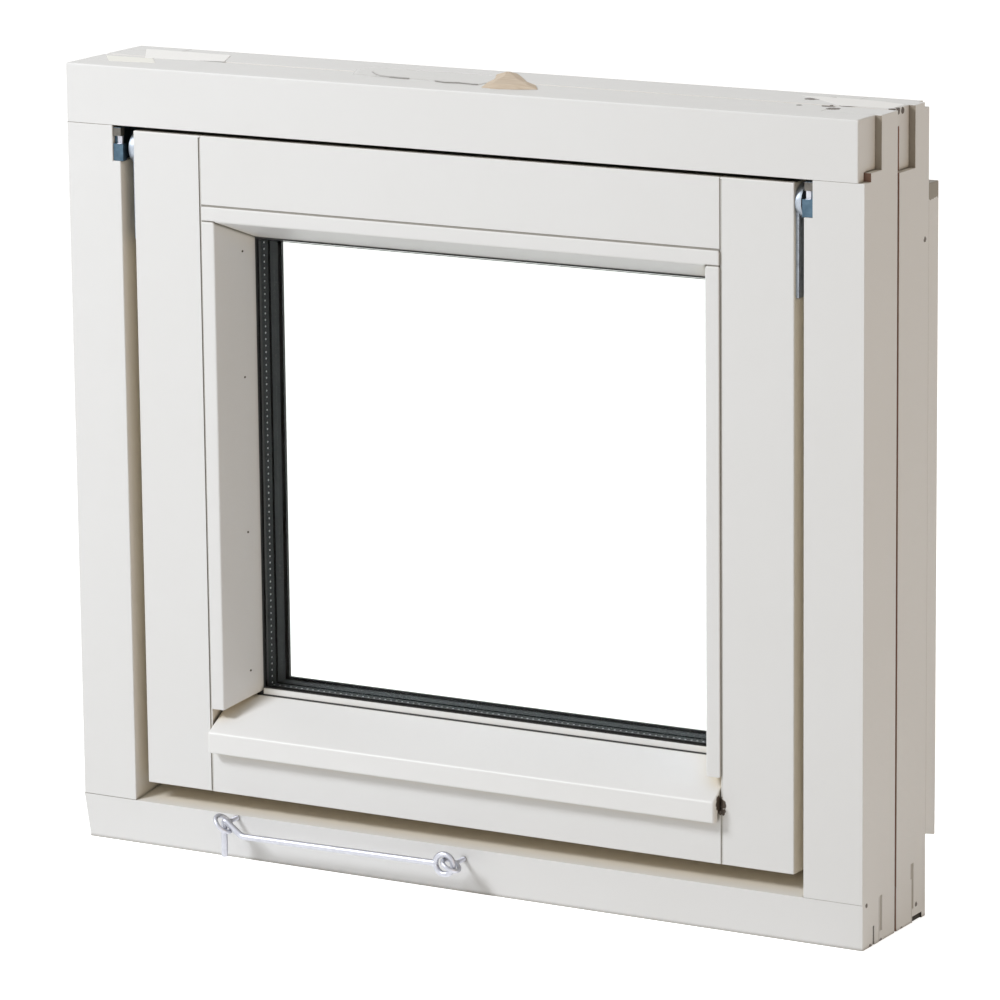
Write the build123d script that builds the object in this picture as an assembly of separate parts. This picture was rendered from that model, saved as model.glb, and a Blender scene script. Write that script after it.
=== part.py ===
from build123d import *
from math import atan2, cos, radians, sin
import os

# Millimetres. X is the window's width, Y its depth with the outside at the front (low Y), Z is up.
# Depths below are measured back from the frame's front face, and place() moves them to the part's
# own frame, whose origin is the centre of the frame's bottom face.

# Frame
FRAME_WIDTH = 745.0
FRAME_HEIGHT = 670.0
FRAME_DEPTH = 115.0
JAMB_WIDTH = 53.0
HEAD_HEIGHT = 50.0
SILL_HEIGHT = 37.5
SILL_SLOPE = 0.134
FRONT_DEPTH = 60.0
FRONT_LAP = 30.0
BACK_LAP = 30.0
HEAD_END_RECESS = 5.5
SHOULDER_RISE = 7.0
SHOULDER_LIP = 10.0
SHOULDER_GAP = 1.5
SHOULDER_GAP_REACH = 12.0
GROOVE_WIDTH = 3.2
GROOVE_DEPTH = 12.0
STOP_DEPTH = 27.0
STOP_WIDTH = 19.5
SILL_STOP_HEIGHT = 17.0
SILL_END_SLANT = 5.5

# Battens on the back of the jambs
BATTEN_WIDTH = 22.0
BATTEN_THICKNESS = 18.0
BATTEN_BOTTOM = 69.0
BATTEN_TOP = 604.0
BATTEN_SLANT = 5.0

# Sash
SASH_RECESS = 4.0
SASH_SIDE_GAP = 10.5
SASH_TOP_GAP = 4.0
SASH_BOTTOM_GAP = 16.5
TONGUE_DEPTH = 18.0
TONGUE_GAP = 6.0
INNER_SPLAY = 14.0
STILE_WIDTH = 66.0
TOP_RAIL_HEIGHT = 59.0
SEAL_GAP = 2.0
SEAL_WIDTH = 7.0
SEAL_INSET = 1.0

# Glazing
BEAD_WIDTH = 29.5
BEAD_FACE = 12.5
BEAD_PROUD = 1.0
BEAD_FOOT_RISE = 12.0
BEAD_FOOT_Z = 126.0
GLASS_SIGHT_BOTTOM = 140.0
GLASS_EDGE_COVER = 12.0
GLASS_EDGE_GAP = 4.0
GLASS_SET_IN = 2.0
PANE_THICKNESS = 4.0
CAVITY = 12.0
GASKET_THICKNESS = 3.0
GASKET_WIDTH = 7.0
GASKET_SHOW = 1.0
SPACER_SET_BACK = 0.5

# Drip sill
DRIP_PROUD = 10.0
DRIP_LIP_TOP = 108.0
DRIP_LIP_HEIGHT = 18.0
DRIP_LIP_THICKNESS = 8.0
DRIP_BACK_RISE = 26.5
DRIP_THICKNESS = 15.5
DRIP_END_GAP = 1.5
STRIP_THICKNESS = 3.5

# Hinge fittings at the top corners
NOTCH_WIDTH = 7.5
NOTCH_HEIGHT = 30.0
NOTCH_DEPTH = 45.0
BRACKET_SET_BACK = 1.0
BRACKET_BLOCK_HEIGHT = 14.0
BRACKET_BLOCK_DEPTH = 6.0
BRACKET_CLIP_HEIGHT = 7.0
BRACKET_TOP_GAP = 2.0
BRACKET_REACH = 2.0
BRACKET_LEG_THICKNESS = 2.5
BRACKET_PIN_WIDTH = 4.5
TRACK_START = 24.0
TRACK_DEPTH = 22.0
TRACK_LENGTH = 62.0
TRACK_THICKNESS = 1.5
TRACK_FLANGE = 4.5
PLATE_START = 7.5
PLATE_DEPTH = 24.0
PLATE_LENGTH = 76.0
PLATE_THICKNESS = 2.5
CAM_RADIUS = 14.0
CAM_THICKNESS = 5.5
CAM_DEPTH = 19.0
CAM_DROP = 16.0

# Hook and its two screw eyes
WIRE_SIDES = 10
HOOK_PLANE = 22.0
HOOK_WIRE = 5.0
HOOK_RING_RADIUS = 8.4
HOOK_LENGTH = 215.0
HOOK_ROD_DROP = 2.0
HOOK_SHOULDER_RUN = 17.5
HOOK_SHOULDER_RISE = 12.6
HOOK_BEND_RADIUS = 4.0
HOOK_PIN_LENGTH = 32.0
EYE_WIRE = 3.8
RIGHT_EYE_X = 5.0
RIGHT_EYE_Z = 28.3
RIGHT_EYE_RADIUS = 7.5
RIGHT_EYE_TILT = 30.0
LEFT_EYE_RADIUS = 8.5
LEFT_EYE_TILT = 45.0
LEFT_EYE_OFFSET = 0.5
EYE_SCREW_LENGTH = 20.0
REST_GAP = 0.3

# Inside handle
HANDLE_PLATE_WIDTH = 66.0
HANDLE_PLATE_HEIGHT = 30.0
HANDLE_PLATE_THICKNESS = 9.0
HANDLE_NECK_RADIUS = 8.0
HANDLE_NECK_LENGTH = 26.0
HANDLE_LEVER_LENGTH = 118.0
HANDLE_LEVER_HEIGHT = 18.0
HANDLE_LEVER_THICKNESS = 11.0
HANDLE_Z = 106.0
HANDLE_CORNER = 8.0
HANDLE_CHAMFER = 2.0

# Places that follow from the sizes above
FRAME_EDGE = FRAME_WIDTH / 2
JAMB_INNER = FRAME_EDGE - JAMB_WIDTH
HEAD_BOTTOM = FRAME_HEIGHT - HEAD_HEIGHT
STOP_FRONT = FRAME_DEPTH - STOP_DEPTH
STOP_INNER = JAMB_INNER - STOP_WIDTH
STOP_TOP = HEAD_BOTTOM - STOP_WIDTH
SILL_STOP_FOOT = SILL_HEIGHT + SILL_SLOPE * STOP_FRONT
SILL_STOP_TOP = SILL_STOP_FOOT + SILL_STOP_HEIGHT

SASH_EDGE = JAMB_INNER - SASH_SIDE_GAP
SASH_TOP = HEAD_BOTTOM - SASH_TOP_GAP
SASH_BOTTOM = SILL_HEIGHT + SASH_BOTTOM_GAP
SASH_BACK = STOP_FRONT - SEAL_GAP
TONGUE_BACK = SASH_BACK + TONGUE_DEPTH
TONGUE_EDGE = STOP_INNER - TONGUE_GAP
TONGUE_TOP = STOP_TOP - TONGUE_GAP
TONGUE_BOTTOM = SILL_STOP_TOP + TONGUE_GAP
BEAD_OUTER = SASH_EDGE - STILE_WIDTH
BEAD_OUTER_TOP = SASH_TOP - TOP_RAIL_HEIGHT
SIGHT = BEAD_OUTER - BEAD_WIDTH
SIGHT_TOP = BEAD_OUTER_TOP - BEAD_WIDTH
BEAD_FRONT = SASH_RECESS - BEAD_PROUD
LIP_FRONT = SASH_BACK - GLASS_SET_IN
GLASS_BACK = LIP_FRONT - GASKET_THICKNESS
GLASS_FRONT = GLASS_BACK - 3 * PANE_THICKNESS - 2 * CAVITY
BEAD_BACK = GLASS_FRONT - GASKET_THICKNESS
REBATE = GLASS_EDGE_COVER + GLASS_EDGE_GAP
SPLAY_AT_SEAL = INNER_SPLAY * GLASS_SET_IN / (TONGUE_BACK - LIP_FRONT)
DRIP_BACK = BEAD_BACK - STRIP_THICKNESS
DRIP_FRONT = SASH_RECESS - DRIP_PROUD
DRIP_TOP_BACK = DRIP_LIP_TOP + DRIP_BACK_RISE
DRIP_SLOPE = DRIP_BACK_RISE / (DRIP_BACK - DRIP_FRONT)
RAIL_SEAT = DRIP_TOP_BACK - DRIP_THICKNESS

# The hook's ring hangs on the right eye's wire, and its shoulder rests on the left eye's wire
RIGHT_WIRE_X = RIGHT_EYE_X - RIGHT_EYE_RADIUS * cos(radians(RIGHT_EYE_TILT))
RIGHT_WIRE_Z = RIGHT_EYE_Z + RIGHT_EYE_RADIUS * sin(radians(RIGHT_EYE_TILT))
HOOK_RING_X = RIGHT_WIRE_X
HOOK_RING_Z = RIGHT_WIRE_Z + EYE_WIRE / 2 + REST_GAP - (HOOK_RING_RADIUS - HOOK_WIRE / 2)
HOOK_PIN_X = HOOK_RING_X - HOOK_LENGTH
HOOK_HEEL_X = HOOK_PIN_X + HOOK_SHOULDER_RUN
HOOK_HEEL_Z = HOOK_RING_Z - HOOK_ROD_DROP
LEFT_EYE_X = HOOK_PIN_X - LEFT_EYE_OFFSET
LEFT_WIRE_X = LEFT_EYE_X + LEFT_EYE_RADIUS * cos(radians(LEFT_EYE_TILT))
SHOULDER_ANGLE = atan2(HOOK_SHOULDER_RISE, HOOK_SHOULDER_RUN)
SHOULDER_OVER_WIRE = HOOK_HEEL_Z + (HOOK_HEEL_X - LEFT_WIRE_X) * HOOK_SHOULDER_RISE / HOOK_SHOULDER_RUN
LEFT_WIRE_Z = SHOULDER_OVER_WIRE - (HOOK_WIRE / 2 + EYE_WIRE / 2 + REST_GAP) / cos(SHOULDER_ANGLE)
LEFT_EYE_Z = LEFT_WIRE_Z + LEFT_EYE_RADIUS * sin(radians(LEFT_EYE_TILT))


def under_drip(depth):
    """Height of the drip sill's underside at a depth."""
    return RAIL_SEAT - DRIP_SLOPE * (DRIP_BACK - depth)


def box(x0, x1, y0, y1, z0, z1):
    """A block between two corners."""
    size = Box(x1 - x0, y1 - y0, z1 - z0)
    return Pos((x0 + x1) / 2, (y0 + y1) / 2, (z0 + z1) / 2) * size


def along_x(outline, x0, x1):
    """A section in depth and height, run along the width."""
    face = make_face(Polyline(*[(x0, y, z) for y, z in outline], close=True))
    return extrude(face, amount=x1 - x0, dir=(1, 0, 0))


def along_z(outline, z0, z1):
    """A section in width and depth, run upwards."""
    face = make_face(Polyline(*[(x, y, z0) for x, y in outline], close=True))
    return extrude(face, amount=z1 - z0, dir=(0, 0, 1))


def along_y(outline, y0, y1):
    """A section in width and height, run back through the depth."""
    face = make_face(Polyline(*[(x, y0, z) for x, z in outline], close=True))
    return extrude(face, amount=y1 - y0, dir=(0, 1, 0))


def ring(edge, bottom, top, width, y0, y1):
    """A rectangular ring whose inner edge is given, with bars of one width."""
    outer = box(-edge - width, edge + width, y0, y1, bottom - width, top + width)
    return outer - box(-edge, edge, y0, y1, bottom, top)


def mirrored(shape):
    """The same piece on the left side."""
    return mirror(shape, about=Plane.YZ)


def lamella_groove():
    """The open groove between the two halves of the frame, at both sides and over the head."""
    y0 = FRONT_DEPTH - GROOVE_WIDTH / 2
    y1 = FRONT_DEPTH + GROOVE_WIDTH / 2
    inner = FRAME_EDGE - GROOVE_DEPTH
    right = box(inner, FRAME_EDGE, y0, y1, 0, FRAME_HEIGHT)
    top = box(-FRAME_EDGE, FRAME_EDGE, y0, y1, FRAME_HEIGHT - GROOVE_DEPTH, FRAME_HEIGHT)
    return right + mirrored(right) + top


def head_front():
    """Front half of the head; its halved ends lap over the jambs."""
    right_end = FRAME_EDGE - HEAD_END_RECESS
    body = box(-JAMB_INNER, JAMB_INNER, 0, FRONT_DEPTH, HEAD_BOTTOM, FRAME_HEIGHT)
    laps = box(-FRAME_EDGE, right_end, 0, FRONT_LAP, HEAD_BOTTOM, FRAME_HEIGHT)
    shoulder = box(JAMB_INNER, FRAME_EDGE, SHOULDER_LIP, FRONT_LAP, HEAD_BOTTOM, HEAD_BOTTOM + SHOULDER_RISE)
    return body + laps - shoulder - mirrored(shoulder) - lamella_groove()


def head_back():
    """Back half of the head, with the stop that the sash closes against."""
    right_end = FRAME_EDGE - HEAD_END_RECESS
    outline = [
        (FRONT_DEPTH, HEAD_BOTTOM), (STOP_FRONT, HEAD_BOTTOM), (STOP_FRONT, STOP_TOP),
        (FRAME_DEPTH, STOP_TOP), (FRAME_DEPTH, FRAME_HEIGHT), (FRONT_DEPTH, FRAME_HEIGHT),
    ]
    body = along_x(outline, -JAMB_INNER, JAMB_INNER)
    laps = box(-FRAME_EDGE, right_end, FRONT_DEPTH, FRONT_DEPTH + BACK_LAP, HEAD_BOTTOM, FRAME_HEIGHT)
    laps -= box(-JAMB_INNER, JAMB_INNER, FRONT_DEPTH, FRONT_DEPTH + BACK_LAP, HEAD_BOTTOM, FRAME_HEIGHT)
    return body + laps - lamella_groove()


def sill_front():
    """Front half of the sill, with its sloping top and its worn, slanting left end."""
    outline = [
        (0, 0), (0, SILL_HEIGHT), (FRONT_DEPTH, SILL_HEIGHT + SILL_SLOPE * FRONT_DEPTH), (FRONT_DEPTH, 0),
    ]
    body = along_x(outline, -JAMB_INNER, JAMB_INNER)
    laps = box(-FRAME_EDGE, FRAME_EDGE, 0, FRONT_LAP, 0, SILL_HEIGHT)
    slant = along_y(
        [(-FRAME_EDGE, SILL_HEIGHT), (-FRAME_EDGE + SILL_END_SLANT, 0), (-FRAME_EDGE, 0)], 0, FRONT_LAP
    )
    return body + laps - slant


def sill_back():
    """Back half of the sill, with its stop."""
    outline = [
        (FRONT_DEPTH, 0), (FRONT_DEPTH, SILL_HEIGHT + SILL_SLOPE * FRONT_DEPTH),
        (STOP_FRONT, SILL_STOP_FOOT), (STOP_FRONT, SILL_STOP_TOP),
        (FRAME_DEPTH, SILL_STOP_TOP), (FRAME_DEPTH, 0),
    ]
    body = along_x(outline, -JAMB_INNER, JAMB_INNER)
    laps = box(-FRAME_EDGE, FRAME_EDGE, FRONT_DEPTH, FRONT_DEPTH + BACK_LAP, 0, SILL_HEIGHT)
    return body + laps - lamella_groove()


def jamb_front():
    """Front half of the right jamb, halved at both ends, with the notch for the hinge bracket."""
    body = box(JAMB_INNER, FRAME_EDGE, 0, FRONT_DEPTH, SILL_HEIGHT, HEAD_BOTTOM)
    tenon = box(JAMB_INNER, FRAME_EDGE, FRONT_LAP, FRONT_DEPTH, 0, FRAME_HEIGHT)
    shoulder_top = HEAD_BOTTOM + SHOULDER_RISE
    shoulder = box(JAMB_INNER, FRAME_EDGE, SHOULDER_LIP, FRONT_LAP, HEAD_BOTTOM, shoulder_top)
    open_end = FRAME_EDGE - SHOULDER_GAP_REACH
    shoulder -= box(
        open_end, FRAME_EDGE, SHOULDER_LIP, SHOULDER_LIP + SHOULDER_GAP, HEAD_BOTTOM, shoulder_top
    )
    notch_bottom = HEAD_BOTTOM - NOTCH_HEIGHT
    notch = box(JAMB_INNER, JAMB_INNER + NOTCH_WIDTH, 0, NOTCH_DEPTH, notch_bottom, HEAD_BOTTOM)
    return body + tenon + shoulder - notch - lamella_groove()


def jamb_back():
    """Back half of the right jamb, with its stop."""
    body = box(JAMB_INNER, FRAME_EDGE, FRONT_DEPTH, FRAME_DEPTH, SILL_HEIGHT, HEAD_BOTTOM)
    tenon = box(JAMB_INNER, FRAME_EDGE, FRONT_DEPTH + BACK_LAP, FRAME_DEPTH, 0, FRAME_HEIGHT)
    stop = box(STOP_INNER, JAMB_INNER, STOP_FRONT, FRAME_DEPTH, SILL_STOP_TOP, STOP_TOP)
    return body + tenon + stop - lamella_groove()


def batten():
    """Fixing batten on the back of the right jamb, cut on the slant at its foot."""
    x0 = FRAME_EDGE - BATTEN_WIDTH
    back = FRAME_DEPTH + BATTEN_THICKNESS
    outline = [
        (FRAME_DEPTH, BATTEN_BOTTOM), (back, BATTEN_BOTTOM - BATTEN_SLANT),
        (back, BATTEN_TOP), (FRAME_DEPTH, BATTEN_TOP),
    ]
    return along_x(outline, x0, FRAME_EDGE)


def weatherstrip():
    """Seal between the frame's stop and the back of the sash."""
    edge = STOP_INNER + SEAL_INSET
    bottom = SILL_STOP_TOP - SEAL_INSET
    return ring(edge, bottom, STOP_TOP + SEAL_INSET, SEAL_WIDTH, SASH_BACK, SASH_BACK + SEAL_GAP)


def stile():
    """Right stile: front seat for the bead, rebate for the glass, lip behind it and a back tongue."""
    outline = [
        (SASH_EDGE, SASH_RECESS), (SASH_EDGE, SASH_BACK), (SIGHT + SPLAY_AT_SEAL, SASH_BACK),
        (SIGHT, LIP_FRONT),
        (SIGHT + REBATE, LIP_FRONT), (SIGHT + REBATE, BEAD_BACK), (BEAD_OUTER, BEAD_BACK),
        (BEAD_OUTER, SASH_RECESS),
    ]
    body = along_z(outline, SASH_BOTTOM, SASH_TOP)
    tongue = [
        (SIGHT + SPLAY_AT_SEAL, SASH_BACK), (TONGUE_EDGE, SASH_BACK), (TONGUE_EDGE, TONGUE_BACK),
        (SIGHT + INNER_SPLAY, TONGUE_BACK),
    ]
    return body + along_z(tongue, TONGUE_BOTTOM, TONGUE_TOP)


def top_rail():
    """Top rail between the stiles, with the same steps as they have."""
    outline = [
        (SASH_RECESS, SASH_TOP), (SASH_RECESS, BEAD_OUTER_TOP), (BEAD_BACK, BEAD_OUTER_TOP),
        (BEAD_BACK, SIGHT_TOP + REBATE), (LIP_FRONT, SIGHT_TOP + REBATE), (LIP_FRONT, SIGHT_TOP),
        (TONGUE_BACK, SIGHT_TOP + INNER_SPLAY), (TONGUE_BACK, TONGUE_TOP), (SASH_BACK, TONGUE_TOP),
        (SASH_BACK, SASH_TOP),
    ]
    rail = along_x(outline, -BEAD_OUTER, BEAD_OUTER)
    return rail - stile() - mirrored(stile())


def bottom_rail():
    """Bottom rail between the stiles; its front top slopes under the drip sill."""
    outline = [
        (SASH_RECESS, SASH_BOTTOM), (SASH_RECESS, under_drip(SASH_RECESS)), (DRIP_BACK, RAIL_SEAT),
        (LIP_FRONT, RAIL_SEAT), (LIP_FRONT, GLASS_SIGHT_BOTTOM),
        (TONGUE_BACK, GLASS_SIGHT_BOTTOM - INNER_SPLAY),
        (TONGUE_BACK, TONGUE_BOTTOM), (SASH_BACK, TONGUE_BOTTOM), (SASH_BACK, SASH_BOTTOM),
    ]
    rail = along_x(outline, -BEAD_OUTER, BEAD_OUTER)
    return rail - stile() - mirrored(stile())


def drip_sill():
    """Sloping sill board with its upright front lip."""
    lip_bottom = DRIP_LIP_TOP - DRIP_LIP_HEIGHT
    lip_back = DRIP_FRONT + DRIP_LIP_THICKNESS
    outline = [
        (DRIP_FRONT, lip_bottom), (DRIP_FRONT, DRIP_LIP_TOP), (DRIP_BACK, DRIP_TOP_BACK),
        (DRIP_BACK, RAIL_SEAT), (lip_back, under_drip(lip_back)), (lip_back, lip_bottom),
    ]
    end = BEAD_OUTER - DRIP_END_GAP
    return along_x(outline, -end, end)


def top_bead_zone():
    """The space that the top bead takes, seen from the front: mitred inside, square at the face."""
    face_edge = BEAD_OUTER - BEAD_FACE
    face_z = BEAD_OUTER_TOP - BEAD_FACE
    right = [
        (SIGHT, SIGHT_TOP), (face_edge, face_z), (BEAD_OUTER, face_z), (BEAD_OUTER, BEAD_OUTER_TOP),
    ]
    left = [(-x, z) for x, z in reversed(right)]
    return along_y(right + left, BEAD_FRONT, BEAD_BACK)


def bead_top():
    """Top glazing bead, with a flat face and a splayed inner side."""
    outline = [
        (BEAD_FRONT, BEAD_OUTER_TOP), (BEAD_FRONT, BEAD_OUTER_TOP - BEAD_FACE),
        (BEAD_BACK, SIGHT_TOP), (BEAD_BACK, BEAD_OUTER_TOP),
    ]
    return along_x(outline, -BEAD_OUTER, BEAD_OUTER) & top_bead_zone()


def bead_side():
    """Right glazing bead; its foot is cut on a slope above the drip sill."""
    outline = [
        (BEAD_OUTER, BEAD_FRONT), (BEAD_OUTER - BEAD_FACE, BEAD_FRONT), (SIGHT, BEAD_BACK),
        (BEAD_OUTER, BEAD_BACK),
    ]
    foot = [
        (BEAD_FRONT, 0), (BEAD_FRONT, BEAD_FOOT_Z), (BEAD_BACK, BEAD_FOOT_Z + BEAD_FOOT_RISE),
        (BEAD_BACK, 0),
    ]
    bead = along_z(outline, 0, BEAD_OUTER_TOP) - top_bead_zone()
    return bead - along_x(foot, 0, FRAME_EDGE)


def bottom_strip():
    """Upright strip between the drip sill and the glass."""
    return box(-SIGHT, SIGHT, DRIP_BACK, BEAD_BACK, RAIL_SEAT, GLASS_SIGHT_BOTTOM)


def pane(number):
    """One of the three panes, counted from the outside."""
    y0 = GLASS_FRONT + number * (PANE_THICKNESS + CAVITY)
    edge = SIGHT + GLASS_EDGE_COVER
    bottom = GLASS_SIGHT_BOTTOM - GLASS_EDGE_COVER
    return box(-edge, edge, y0, y0 + PANE_THICKNESS, bottom, SIGHT_TOP + GLASS_EDGE_COVER)


def spacer(number):
    """Spacer frame between two panes."""
    y0 = GLASS_FRONT + PANE_THICKNESS + number * (PANE_THICKNESS + CAVITY)
    return ring(
        SIGHT + SPACER_SET_BACK, GLASS_SIGHT_BOTTOM - SPACER_SET_BACK, SIGHT_TOP + SPACER_SET_BACK,
        GLASS_EDGE_COVER - SPACER_SET_BACK, y0, y0 + CAVITY,
    )


def gasket(y0):
    """Glazing gasket; its edge just shows past the bead or lip."""
    return ring(
        SIGHT - GASKET_SHOW, GLASS_SIGHT_BOTTOM + GASKET_SHOW, SIGHT_TOP - GASKET_SHOW,
        GASKET_WIDTH, y0, y0 + GASKET_THICKNESS,
    )


def hinge_bracket():
    """Zinc bracket in the right jamb's notch: a back leg with a block below, a clip above and a pin."""
    x0 = JAMB_INNER - BRACKET_REACH
    x1 = JAMB_INNER + NOTCH_WIDTH
    y0 = BRACKET_SET_BACK
    y1 = BRACKET_SET_BACK + BRACKET_BLOCK_DEPTH
    z0 = HEAD_BOTTOM - NOTCH_HEIGHT
    z1 = z0 + BRACKET_BLOCK_HEIGHT
    top = HEAD_BOTTOM - BRACKET_TOP_GAP
    z2 = top - BRACKET_CLIP_HEIGHT
    leg = box(x1 - BRACKET_LEG_THICKNESS, x1, y0, NOTCH_DEPTH, z0, top)
    block = box(x0, x1, y0, y1, z0, z1)
    clip = box(JAMB_INNER, x1, y0, y1, z2, top)
    half = BRACKET_PIN_WIDTH / 2
    pin_x = (JAMB_INNER + x1 - BRACKET_LEG_THICKNESS) / 2
    pin_y = (y0 + y1) / 2
    pin = box(pin_x - half, pin_x + half, pin_y - half, pin_y + half, z1, z2)
    return leg + block + clip + pin


def hinge_track():
    """Zinc channel on the right jamb's inner face, below the bracket, open towards the sash."""
    top = HEAD_BOTTOM - NOTCH_HEIGHT
    inner = JAMB_INNER - TRACK_FLANGE
    back = TRACK_START + TRACK_DEPTH
    web = JAMB_INNER - TRACK_THICKNESS
    outline = [
        (JAMB_INNER, TRACK_START), (inner, TRACK_START), (inner, TRACK_START + TRACK_THICKNESS),
        (web, TRACK_START + TRACK_THICKNESS), (web, back - TRACK_THICKNESS),
        (inner, back - TRACK_THICKNESS), (inner, back), (JAMB_INNER, back),
    ]
    return along_z(outline, top - TRACK_LENGTH, top)


def hinge_plate():
    """Zinc strip on the sash's right side; its head swells into a round cam."""
    cam_z = SASH_TOP - CAM_DROP
    y1 = PLATE_START + PLATE_DEPTH
    strip = box(SASH_EDGE, SASH_EDGE + PLATE_THICKNESS, PLATE_START, y1, cam_z - PLATE_LENGTH, cam_z)
    cam = Pos(SASH_EDGE, CAM_DEPTH, cam_z) * Rot(0, 90, 0) * Cylinder(
        CAM_RADIUS, CAM_THICKNESS, align=(Align.CENTER, Align.CENTER, Align.MIN)
    )
    return strip + cam


def wire_ring(radius, wire):
    """A closed ring of wire, lying level about the origin."""
    section = Plane.XZ * Pos(radius, 0, 0) * RegularPolygon(wire / 2, WIRE_SIDES)
    return revolve(section, Axis.Z)


def screw_eye(x, z, radius, tilt):
    """Screw eye: a ring in front of the frame, turned by its tilt, on a shank driven into the sill."""
    loop = Pos(x, -HOOK_PLANE, z) * Rot(0, tilt, 0) * wire_ring(radius, EYE_WIRE)
    shank_length = HOOK_PLANE - radius + EYE_SCREW_LENGTH
    shank = Pos(x, -HOOK_PLANE + radius, z) * Rot(-90, 0, 0) * Cylinder(
        EYE_WIRE / 2, shank_length, align=(Align.CENTER, Align.CENTER, Align.MIN)
    )
    return loop + shank


def hook():
    """Wire hook: closed ring, long rod, rising shoulder and a pin through the left eye."""
    ring_place = Pos(HOOK_RING_X, -HOOK_PLANE, HOOK_RING_Z)
    loop = ring_place * Rot(90, 0, 0) * wire_ring(HOOK_RING_RADIUS, HOOK_WIRE)
    shoulder_z = HOOK_HEEL_Z + HOOK_SHOULDER_RISE
    route = [
        (HOOK_RING_X - HOOK_RING_RADIUS, HOOK_RING_Z),
        (HOOK_HEEL_X, HOOK_HEEL_Z),
        (HOOK_PIN_X, shoulder_z),
        (HOOK_PIN_X, shoulder_z - HOOK_PIN_LENGTH),
    ]
    path = FilletPolyline(*[(x, -HOOK_PLANE, z) for x, z in route], radius=HOOK_BEND_RADIUS)
    section = Plane(origin=path @ 0, z_dir=path % 0) * RegularPolygon(HOOK_WIRE / 2, WIRE_SIDES)
    return loop + sweep(section, path=path)


def cut_for_eye(piece, x, z):
    """The sill with the hole that a screw eye's shank fills."""
    shank = Pos(x, 0, z) * Rot(-90, 0, 0) * Cylinder(
        EYE_WIRE / 2, EYE_SCREW_LENGTH, align=(Align.CENTER, Align.CENTER, Align.MIN)
    )
    return piece - shank


def handle_plate():
    """Base plate of the inside handle on the bottom rail."""
    y0 = TONGUE_BACK
    plate = box(
        -HANDLE_PLATE_WIDTH / 2, HANDLE_PLATE_WIDTH / 2, y0, y0 + HANDLE_PLATE_THICKNESS,
        HANDLE_Z - HANDLE_PLATE_HEIGHT / 2, HANDLE_Z + HANDLE_PLATE_HEIGHT / 2,
    )
    plate = fillet(plate.edges().filter_by(Axis.Y), HANDLE_CORNER)
    return chamfer(plate.faces().sort_by(Axis.Y)[-1].edges(), HANDLE_CHAMFER)


def handle_lever():
    """Lever of the inside handle, lying level."""
    y0 = TONGUE_BACK + HANDLE_PLATE_THICKNESS
    neck = Pos(0, y0, HANDLE_Z) * Rot(-90, 0, 0) * Cylinder(
        HANDLE_NECK_RADIUS, HANDLE_NECK_LENGTH, align=(Align.CENTER, Align.CENTER, Align.MIN)
    )
    y1 = y0 + HANDLE_NECK_LENGTH
    half = HANDLE_LEVER_HEIGHT / 2
    grip = box(
        -half, HANDLE_LEVER_LENGTH - half, y1 - HANDLE_LEVER_THICKNESS, y1, HANDLE_Z - half, HANDLE_Z + half
    )
    grip = fillet(grip.edges().filter_by(Axis.Y), HANDLE_CORNER)
    grip = chamfer(grip.faces().sort_by(Axis.Y)[-1].edges(), HANDLE_CHAMFER)
    return neck + grip


def build():
    """All pieces by node name."""
    sill = cut_for_eye(sill_front(), RIGHT_EYE_X, RIGHT_EYE_Z)
    sill = cut_for_eye(sill, LEFT_EYE_X, LEFT_EYE_Z)
    pieces = {
        "head_front": head_front(),
        "head_back": head_back(),
        "sill_front": sill,
        "sill_back": sill_back(),
        "frame_weatherstrip": weatherstrip(),
        "sash_top_rail": top_rail(),
        "sash_bottom_rail": bottom_rail(),
        "drip_sill": drip_sill(),
        "glazing_bead_top": bead_top(),
        "glazing_strip_bottom": bottom_strip(),
        "glass_outer_pane": pane(0),
        "glass_middle_pane": pane(1),
        "glass_inner_pane": pane(2),
        "glass_spacer_outer": spacer(0),
        "glass_spacer_inner": spacer(1),
        "glazing_gasket_outer": gasket(BEAD_BACK),
        "glazing_gasket_inner": gasket(GLASS_BACK),
        "screw_eye_right": screw_eye(RIGHT_EYE_X, RIGHT_EYE_Z, RIGHT_EYE_RADIUS, RIGHT_EYE_TILT),
        "screw_eye_left": screw_eye(LEFT_EYE_X, LEFT_EYE_Z, LEFT_EYE_RADIUS, LEFT_EYE_TILT),
        "hook": hook(),
        "handle_plate": handle_plate(),
        "handle_lever": handle_lever(),
    }
    pairs = {
        "jamb_front": jamb_front(),
        "jamb_back": jamb_back(),
        "batten": batten(),
        "sash_stile": stile(),
        "glazing_bead": bead_side(),
        "hinge_bracket": hinge_bracket(),
        "hinge_track": hinge_track(),
        "hinge_plate": hinge_plate(),
    }
    for name, piece in pairs.items():
        pieces[name + "_right"] = piece
        pieces[name + "_left"] = mirrored(piece)
    return pieces


def place(shape):
    """From depths behind the front face to the part's own frame."""
    return Pos(0, -FRAME_DEPTH / 2, 0) * shape


os.makedirs("parts", exist_ok=True)
for name, piece in build().items():
    export_step(place(piece), f"parts/{name}.step")
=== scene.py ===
# %% [markdown]
# # A small timber window that pivots, with its hook
# The part is a painted timber window, 745 mm wide, seen from outside: a frame made of two halves
# in depth, a sash with triple glazing, and a wire hook on the sill. The exact solids arrive from
# CAD as the frame. This script gives them their looks: eased edges, paint, glass, zinc and wear.
# Every object works in metres, with the origin at the middle of the frame's bottom face.

# %% Load the frame
import math

import bmesh
import bpy
from mathutils import Matrix, Vector
from mathutils.bvhtree import BVHTree


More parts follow.
